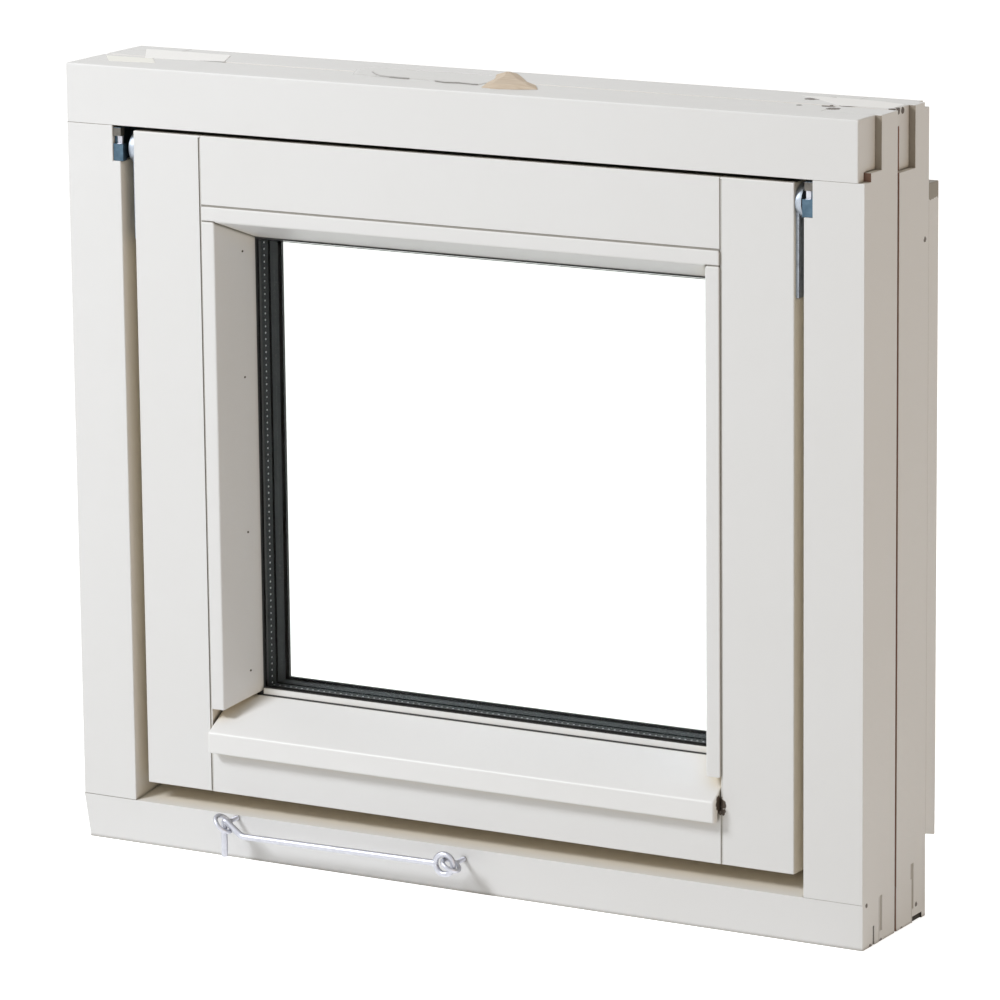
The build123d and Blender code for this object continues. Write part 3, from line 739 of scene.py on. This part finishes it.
def bar_holes(start, along, count, normal, name):
    """The holes of one bar."""
    first = disc(start, normal, HOLE_RADIUS)
    step = along * HOLE_PITCH / 1000
    return repeat(first, [step * number for number in range(count)], name)


for spacer in ("glass_spacer_outer", "glass_spacer_inner"):
    low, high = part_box(spacer)
    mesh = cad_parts[spacer].data
    inner_x = min(v.co.x for v in mesh.vertices if v.co.x > 0)
    heights = sorted({round(v.co.z, 5) for v in mesh.vertices})
    inner_low, inner_high = heights[1], heights[-2]
    middle = (low.y + high.y) / 2
    off = STAND_OFF / 1000
    first_x, first_z = -inner_x + FIRST_HOLE / 1000, inner_low + FIRST_HOLE / 1000
    up_count = int((inner_high - inner_low) * 1000 / HOLE_PITCH)
    across_count = int(2 * inner_x * 1000 / HOLE_PITCH)
    up, across = Vector((0, 0, 1)), Vector((1, 0, 0))
    rows = [
        bar_holes(Vector((-inner_x + off, middle, first_z)), up, up_count, across, "left"),
        bar_holes(Vector((inner_x - off, middle, first_z)), up, up_count, -across, "right"),
        bar_holes(Vector((first_x, middle, inner_low + off)), across, across_count, up, "low"),
        bar_holes(Vector((first_x, middle, inner_high - off)), across, across_count, -up, "top"),
    ]
    holes = join(rows, spacer + "_holes")
    in_front = spacer == "glass_spacer_outer"
    finish_piece(holes, "spacer", material=pale_hole if in_front else hole_in_painted_shade)
    print(spacer, "has", 2 * (up_count + across_count), "holes")

# %% [markdown]
# ## Zinc fittings
# Brackets in the jambs' notches, plates on the sash and the hidden tracks are zinc-plated steel
# with a blue cast. Plating is a rough metal, cloudy in tone, so noise drives both its colour and
# its roughness a little. Each bracket is copied and gets a slot, a worn part above it and a bright
# wall inside. Plates and tracks keep their CAD shape: a Weld and a Bevel modifier round their edges
# without changing the mesh underneath.


# %% Zinc on brackets, plates and tracks
def plated(name, light, dark, low_rough, high_rough):
    """Cloudy metal plating."""
    material, nodes, links = new_material(name)
    shader = nodes["Principled BSDF"]
    shader.inputs["Metallic"].default_value = 1.0
    clouds = noise(nodes, links, stretched(nodes, links, (1, 1, 1)), 220, 4)
    links.new(blended(nodes, links, clouds, light, dark), shader.inputs["Base Color"])
    spread = nodes.new("ShaderNodeMapRange")
    spread.inputs["To Min"].default_value = low_rough
    spread.inputs["To Max"].default_value = high_rough
    links.new(clouds, spread.inputs["Value"])
    links.new(spread.outputs["Result"], shader.inputs["Roughness"])
    return material


blue_zinc = plated("blue_zinc", (0.12, 0.19, 0.25, 1), (0.04, 0.07, 0.10, 1), 0.35, 0.6)
pale_zinc = plated("pale_zinc", (0.50, 0.55, 0.62, 1), (0.26, 0.29, 0.33, 1), 0.4, 0.6)
dull_zinc = plated("dull_zinc", (0.30, 0.29, 0.28, 1), (0.12, 0.115, 0.11, 1), 0.5, 0.7)
bright_zinc = plated("bright_zinc", (0.60, 0.61, 0.66, 1), (0.42, 0.43, 0.48, 1), 0.35, 0.55)
worn_zinc = plated("worn_zinc", (0.20, 0.19, 0.17, 1), (0.07, 0.065, 0.06, 1), 0.45, 0.65)


def soften(node, width):
    """Rounds the edges of a CAD node that keeps its shape."""
    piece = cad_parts[node]
    weld = piece.modifiers.new("Weld", "WELD")
    weld.merge_threshold = 0.00001
    bevel = piece.modifiers.new("Eased edges", "BEVEL")
    bevel.width = width / 1000
    bevel.segments = 2
    bevel.limit_method = "ANGLE"
    bevel.angle_limit = math.radians(35)


def on_side(sign, low, high):
    """The corners of a box given for the right side, or mirrored to the left."""
    near, far = sorted((sign * low[0], sign * high[0]))
    return at(near, *low[1:]), at(far, *high[1:])


BRACKET_SLOT = (316, -1, 604.3), (328, 3.6, 610.7)
WORN_PART = (316, -1, 610.8), (328, 9, 617.9)
BRIGHT_WALL = (319.6, 1, 604.2), (324.4, 9, 610.8)
for side, sign in (("right", 1), ("left", -1)):
    node = "hinge_bracket_" + side
    piece = copy_of(node, node + "_steel")
    cut(piece, *on_side(sign, *BRACKET_SLOT))
    ease_edges(piece, [node], width=0.6, joint=0.3, segments=2)
    finish_piece(piece, "zinc_steel", node, material=blue_zinc)
    recolour(piece, worn_zinc, *on_side(sign, *WORN_PART), None)
    recolour(piece, bright_zinc, *on_side(sign, *BRIGHT_WALL), None)
    repaint("hinge_plate_" + side, pale_zinc)
    repaint("hinge_track_" + side, dull_zinc)
    soften("hinge_plate_" + side, 0.3)
    soften("hinge_track_" + side, 0.2)
print("Zinc fittings dressed")

# %% [markdown]
# ## The hook and its screw eyes
# The hook is bent from one length of bright zinc-plated wire: a closed ring, a long rod, a rising
# shoulder and a pin that drops through the left eye. The CAD solids are many-sided so that they
# stay light. Here the same line is drawn as a curve with a round section and turned into a mesh,
# which is how a wire is most simply made, and a torus gives each ring.

# %% Bent wire
HOOK_DEPTH = -22.0
HOOK_WIRE = 5.4
RING_WIRE = 5.0
RING_RADIUS = 8.4
BEND_PULL = 0.45
FLAT_SIDE = math.cos(math.radians(18))  # the CAD wire has ten sides, and a flat one faces out
FACING_FRONT = (math.radians(90), 0, 0)
ring_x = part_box("hook")[1].x * 1000 - RING_RADIUS - RING_WIRE / 2 * FLAT_SIDE
print("The ring's centre lies at x =", round(ring_x, 2), "mm")


def wire(points, thickness, name):
    """A round wire through some points, with eased bends."""
    curve = bpy.data.curves.new(name, "CURVE")
    curve.dimensions = "3D"
    curve.bevel_depth = thickness / 2000
    curve.bevel_resolution = 5
    curve.use_fill_caps = True
    line = curve.splines.new("BEZIER")
    line.bezier_points.add(len(points) - 1)
    for point, (place, before, after) in zip(line.bezier_points, points):
        point.co = place
        point.handle_left_type = point.handle_right_type = "FREE"
        point.handle_left = before
        point.handle_right = after
    line.resolution_u = 6
    piece = bpy.data.objects.new(name, curve)
    bpy.context.collection.objects.link(piece)
    choose(piece)
    bpy.ops.object.convert(target="MESH")
    bpy.ops.object.shade_smooth()
    return bpy.context.object


def bent(corners, bend):
    """Bezier points along straight runs with a rounded bend at each inner corner."""
    points = []
    for number, corner in enumerate(corners):
        if number in (0, len(corners) - 1):
            points.append((corner, corner, corner))
            continue
        back = (corners[number - 1] - corner).normalized() * bend / 1000
        onward = (corners[number + 1] - corner).normalized() * bend / 1000
        points.append((corner + back, corner + back, corner + back * BEND_PULL))
        points.append((corner + onward, corner + onward * BEND_PULL, corner + onward))
    return points


def wire_ring(place, radius, thickness, turn, name):
    """A closed ring of wire."""
    bpy.ops.object.select_all(action="DESELECT")
    bpy.ops.mesh.primitive_torus_add(
        major_radius=radius / 1000, minor_radius=thickness / 2000, major_segments=48,
        minor_segments=16, location=place, rotation=turn,
    )
    bpy.ops.object.shade_smooth()
    bpy.context.object.name = name
    return bpy.context.object


# %% [markdown]
# ### The hook's own line
# From the ring the rod drops a little towards the heel, rises to the shoulder and turns straight
# down into the pin. Four corners give that line, and each inner one gets the same small bend. The
# hook rides on its own body, so that it turns with its joint.

# %% The hook
RING_Z = 28.35
PIN_TO_RING, HEEL_RUN, ROD_DROP, SHOULDER_RISE = 215, 17.5, 2.0, 12.6
PIN_LENGTH, HOOK_BEND = 32, 3.2
PIN_X, HEEL_Z = ring_x - PIN_TO_RING, RING_Z - ROD_DROP
HEEL_X, SHOULDER_Z = PIN_X + HEEL_RUN, HEEL_Z + SHOULDER_RISE
rod = wire(
    bent([
        at(ring_x - RING_RADIUS, HOOK_DEPTH, RING_Z), at(HEEL_X, HOOK_DEPTH, HEEL_Z),
        at(PIN_X, HOOK_DEPTH, SHOULDER_Z), at(PIN_X, HOOK_DEPTH, SHOULDER_Z - PIN_LENGTH),
    ], HOOK_BEND),
    HOOK_WIRE, "hook_rod",
)
ring = wire_ring(
    at(ring_x, HOOK_DEPTH, RING_Z), RING_RADIUS, RING_WIRE, FACING_FRONT, "hook_ring"
)
hook = join([rod, ring], "wire_hook")
finish_piece(hook, "hook_zinc", "hook", body="hook", material=bright_zinc)
print("Hook:", len(hook.data.polygons), "faces")

# %% [markdown]
# ### Screw eyes
# A screw eye is a ring of wire on a threaded shank that is turned into the timber. Part of the
# thread stays in sight in front of the sill. The thread is made of slim rings close together, which
# at this size can't be told from a real spiral.

# %% The two screw eyes
EYE_WIRE, THREAD_WIRE = 3.8, 0.9
SHANK_SHARE, SHANK_END = 0.86, 18
THREAD_RADIUS = EYE_WIRE / 2 - 0.35
THREAD_DEPTHS = (-8.6, -7.0, -5.4, -3.8, -2.2, -0.6)
left_low, left_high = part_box("screw_eye_left")
EYES = {
    "screw_eye_right": (5.0, 28.3, 7.5, 30.0),
    "screw_eye_left": (PIN_X - 0.5, (left_low.z + left_high.z) * 500, 8.5, 45.0),
}
for node, (x, z, radius, tilt) in EYES.items():
    lean = (0, math.radians(tilt), 0)
    eye = wire_ring(at(x, HOOK_DEPTH, z), radius, EYE_WIRE, lean, node + "_ring")
    shank = wire(
        [(at(x, depth, z),) * 3 for depth in (HOOK_DEPTH + radius, SHANK_END)],
        EYE_WIRE * SHANK_SHARE, node + "_shank",
    )
    threads = [
        wire_ring(at(x, depth, z), THREAD_RADIUS, THREAD_WIRE, FACING_FRONT, "thread")
        for depth in THREAD_DEPTHS
    ]
    piece = join([eye, shank, *threads], node + "_wire")
    finish_piece(piece, "hook_zinc", node, material=bright_zinc)
    print(node, len(piece.data.polygons), "faces")

# %% [markdown]
# ### The seal at the foot of the glazing strip
# Where the drip sill's top meets the white strip, a thin black seal keeps water out, and it shows
# as a fine dark line. It is drawn as one straight wire between the beads.

# %% Foot seal
SEAL_THICKNESS = 1.5
strip_low, strip_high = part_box("glazing_strip_bottom")
seal_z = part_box("drip_sill")[1].z
seal_ends = [Vector((x, strip_low.y, seal_z)) for x in (strip_low.x + 0.001, strip_high.x - 0.001)]
seal = wire([(end, end, end) for end in seal_ends], SEAL_THICKNESS, "strip_foot_seal")
finish_piece(seal, "gasket_rubber", material=rubber)
print("Foot seal at z =", round(seal_z, 4))

# %% [markdown]
# ## The inside handle
# It sits on the room side, so the photograph doesn't show it. A plain satin metal suits it, and
# the two nodes keep their CAD shape with softened edges.

# %% Handle
satin_metal = plain("satin_metal", (0.62, 0.62, 0.63), 0.35, 1.0)
for node in ("handle_plate", "handle_lever"):
    repaint(node, satin_metal)
    soften(node, 0.6)
print("Handle dressed")

# %% [markdown]
# ## Nail holes in the beads
# Small nails hold the beads. Their heads are sunk, and each leaves a dark dot in the splay. A dot
# is a thin disc turned to lie flat on the slanting face, whose direction is worked out from the
# bead's front and back edges.

# %% Nail holes along the splays
nail_dark = plain("nail_dark", (0.06, 0.05, 0.045), 0.7)
BEAD_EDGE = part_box("glazing_bead_right")[1].x * 1000
SPLAY_FRONT, SPLAY_BACK = 3.0, 42.0
FACE_INNER, SIGHT = BEAD_EDGE - 12.5, BEAD_EDGE - 29.5
splay_normal = Vector((SPLAY_BACK - SPLAY_FRONT, -(FACE_INNER - SIGHT), 0)).normalized()
NAIL_HEIGHTS = (517, 410, 277, 157)
NAIL_DEPTH, NAIL_RADIUS = 29.0, 0.9
nail_x = FACE_INNER - (FACE_INNER - SIGHT) * (NAIL_DEPTH - SPLAY_FRONT) / (SPLAY_BACK - SPLAY_FRONT)
dots = []
for side in (-1, 1):
    normal = Vector((-side * splay_normal.x, splay_normal.y, 0))
    for height in NAIL_HEIGHTS:
        place = at(side * nail_x, NAIL_DEPTH, height)
        dots.append(disc(place, normal, NAIL_RADIUS, sides=10, depth=0.3))
nails = join(dots, "bead_nail_holes")
finish_piece(nails, "sash_paint", material=nail_dark)
print(len(NAIL_HEIGHTS) * 2, "nail holes at x =", round(nail_x, 1))

# %% [markdown]
# ## On top of the head
# A pale sticker, a torn strip of wrapping film, a patch of fresh paint and one of bare wood lie on
# the head's top. They are thin, so each starts as one flat face with its own outline, gets a
# thickness, and may then rise in rings towards its middle. A picture laid on the head would be
# quicker, but would have no edge to catch the light.

# %% A thin shape from an outline
HEAD_TOP = 670.0
RING_STEP = 0.004


def patch(name, outline, thickness, relief=0.0, rings=1):
    """A thin flat piece on the head's top, from the corners of its outline."""
    mesh = bpy.data.meshes.new(name)
    mesh.from_pydata([at(x, depth, HEAD_TOP) for x, depth in outline], [], [range(len(outline))])
    piece = bpy.data.objects.new(name, mesh)
    bpy.context.collection.objects.link(piece)
    choose(piece)
    bpy.ops.object.mode_set(mode="EDIT")
    bpy.ops.mesh.select_all(action="SELECT")
    bpy.ops.mesh.normals_make_consistent(inside=False)
    bpy.ops.mesh.extrude_region_move(
        TRANSFORM_OT_translate={"value": (0, 0, thickness / 1000)}
    )
    for ring_number in range(rings if relief else 0):
        bpy.ops.mesh.inset(thickness=RING_STEP)
        bpy.ops.transform.translate(value=(0, 0, relief / 1000 / rings))
    bpy.ops.mesh.select_all(action="SELECT")
    bpy.ops.mesh.normals_make_consistent(inside=False)
    bpy.ops.object.mode_set(mode="OBJECT")
    return piece


print("Patches lie at a height of", HEAD_TOP, "mm")

# %% [markdown]
# ### What lies there
# Each outline is a list of places, width and depth in millimetres, that follows the shape round.
# The film's torn edges curl up, and a curl is a thin wire laid along the edge; the wire's dark grey
# is a painted shadow along the curled edge. The wood's colour is a fibre drawn out along the head.

# %% Sticker, film and bare wood
sticker_paper = plain("sticker_paper", (0.98, 0.98, 0.98), 0.5)
cream_paper = plain("cream_paper", (0.94, 0.94, 0.90), 0.6)
film_plastic = plain("grey_film", (0.62, 0.62, 0.61), 0.25)
bare_wood, nodes, links = new_material("bare_wood")
fibre = noise(nodes, links, stretched(nodes, links, (60, 500, 500)), 1.0, 5)
links.new(
    blended(nodes, links, fibre, (0.82, 0.72, 0.60, 1), (0.50, 0.38, 0.27, 1)),
    nodes["Principled BSDF"].inputs["Base Color"],
)
nodes["Principled BSDF"].inputs["Roughness"].default_value = 0.75
sticker = patch("sticker", [(-327, 52), (-253, 60), (-269, 95), (-355, 97)], 0.3)
finish_piece(sticker, "frame_paint", material=sticker_paper)
strip = patch("sticker_strip", [(-344, 23), (-302, 29), (-318, 50), (-364, 49)], 0.3)
finish_piece(strip, "frame_paint", material=cream_paper)
film = patch("torn_film", [
    (-118, 44), (-96, 39), (-62, 42), (-30, 39), (6, 36), (10, 62), (-4, 84), (-40, 88),
    (-84, 86), (-120, 88), (-128, 66),
], 0.25, 0.3)
finish_piece(film, "frame_paint", material=film_plastic)
# The curls' dark grey paints the shadow line along the film's curled edge.
curl_painted_shadow = plain("film_edge_painted_shadow", (0.33, 0.32, 0.31), 0.4)
CURLS = (
    (1.3, ((-108, 59), (-99, 49), (-90, 42), (-78, 40.5), (-62, 40))),
    (0.9, ((-36, 38), (-24, 34), (-12, 37), (6, 35))),
)
curls = [
    wire([(at(x, depth, HEAD_TOP + 0.5),) * 3 for x, depth in line], thickness, "curl")
    for thickness, line in CURLS
]
finish_piece(join(curls, "film_curls"), "frame_paint", material=curl_painted_shadow)
fresh_paint = plain("fresh_paint", (0.93, 0.93, 0.93), 0.5)
fresh = patch("fresh_paint_patch", [
    (268, 97), (290, 84), (303, 74), (322, 60), (345, 64), (364, 66), (364, 88), (340, 96),
    (300, 99),
], 0.15)
finish_piece(fresh, "frame_paint", material=fresh_paint)
wood = patch("bare_wood_patch", [
    (16, 24), (30, 22), (46, 26), (62, 34), (50, 52), (34, 66), (20, 84), (4, 103), (-8, 106),
    (-9, 92), (2, 70), (8, 46),
], 0.5, 2.4, 2)
finish_piece(wood, "frame_paint", material=bare_wood)
print("Sticker, film and bare wood laid on the head")

# %% [markdown]
# ## Floor and surroundings
# The window stands on a plain pale floor that reads as white to the camera, in reflections and
# through the glass. A white floor alone would be grey wherever the light is weak, so its paint gets
# a glow that only those rays see. It still takes the window's shadow.

# %% Floor
bpy.ops.object.select_all(action="DESELECT")
bpy.ops.mesh.primitive_plane_add(size=60, location=(0, 0, 0))
floor = bpy.context.object
floor.name = "studio_floor"
FLOOR_GLOW = 0.8


def seen(nodes, links):
    """1 for rays from the camera, in reflections and through glass."""
    path = nodes.new("ShaderNodeLightPath")
    rays = [path.outputs["Is " + kind + " Ray"] for kind in ("Camera", "Glossy", "Transmission")]
    total = sum_of(nodes, links, "ADD", rays[0], rays[1])
    total = sum_of(nodes, links, "ADD", total, rays[2])
    return sum_of(nodes, links, "MINIMUM", total, 1.0)


floor_finish, nodes, links = new_material("floor_finish")
nodes["Principled BSDF"].inputs["Base Color"].default_value = (0.85, 0.85, 0.85, 1)
nodes["Principled BSDF"].inputs["Roughness"].default_value = 1.0
nodes["Principled BSDF"].inputs["Specular IOR Level"].default_value = 0.0
glow = nodes.new("ShaderNodeEmission")
links.new(sum_of(nodes, links, "MULTIPLY", seen(nodes, links), FLOOR_GLOW), glow.inputs["Strength"])
both = nodes.new("ShaderNodeAddShader")
links.new(nodes["Principled BSDF"].outputs["BSDF"], both.inputs[0])
links.new(glow.outputs["Emission"], both.inputs[1])
links.new(both.outputs["Shader"], nodes["Material Output"].inputs["Surface"])
floor.data.materials.append(floor_finish)
print("Floor made")

# %% [markdown]
# ### The sky
# The world gives two answers. The same rays find it pure white, as a studio's backdrop. The light
# that falls on the window comes from a dimmer, slightly warm sky, which fills the shadows evenly.

# %% World
SKY = (0.40, 0.385, 0.35, 1)
world = bpy.data.worlds.new("studio")
bpy.context.scene.world = world
world.use_nodes = True
nodes, links = world.node_tree.nodes, world.node_tree.links
sky = nodes["Background"]
sky.inputs["Color"].default_value = SKY
white = nodes.new("ShaderNodeBackground")
white.inputs["Color"].default_value = (1, 1, 1, 1)
switch = nodes.new("ShaderNodeMixShader")
links.new(seen(nodes, links), switch.inputs["Fac"])
links.new(sky.outputs["Background"], switch.inputs[1])
links.new(white.outputs["Background"], switch.inputs[2])
links.new(switch.outputs["Shader"], nodes["World Output"].inputs["Surface"])
print("World made")

# %% [markdown]
# ## Lamps
# Two square lamps light the window. The key lamp stands high at the left front and leaves the right
# side in shade. A weak warm one at the right keeps that shade from turning blue.


# %% Lamps
def lamp(name, place, aim, size, power, colour):
    """A square soft lamp aimed at a point."""
    data = bpy.data.lights.new(name, "AREA")
    data.size = size
    data.energy = power
    data.color = colour
    light = bpy.data.objects.new(name, data)
    bpy.context.collection.objects.link(light)
    light.location = place
    light.rotation_euler = (Vector(aim) - Vector(place)).to_track_quat("-Z", "Y").to_euler()
    return light


lamp("key_lamp", (-2.11, -2.39, 2.72), (0, 0, 0.33), 1.0, 105, (0.98, 1.0, 1.03))
lamp("warm_fill", (4.0, -0.6, 1.2), (0.3, 0, 0.33), 2.0, 14, (1.0, 0.58, 0.25))
print("A key lamp at the left and a weak warm one at the right")

# %% [markdown]
# ## Camera
# The view was worked out from the frame's corners: the camera stands almost five metres away, to
# the right and a little above, with a long lens. Turning it takes three angles, yaw about the
# upright, pitch down and a slight roll, applied in that order.

# %% Camera
CAMERA_PLACE = (2.34807, -4.05969, 1.34366)
YAW, PITCH, ROLL = 29.942, 12.303, -0.605
LENS = 209.02
camera_data = bpy.data.cameras.new("camera")
camera_data.lens = LENS
camera_data.sensor_width = 36
camera_data.clip_end = 100
camera = bpy.data.objects.new("camera", camera_data)
bpy.context.collection.objects.link(camera)
turn = (
    Matrix.Rotation(math.radians(YAW), 4, "Z")
    @ Matrix.Rotation(math.radians(90 - PITCH), 4, "X")
    @ Matrix.Rotation(math.radians(ROLL), 4, "Z")
)
camera.matrix_world = Matrix.Translation(CAMERA_PLACE) @ turn
bpy.context.scene.camera = camera
bpy.context.scene.view_settings.view_transform = "Standard"
print("Camera set")
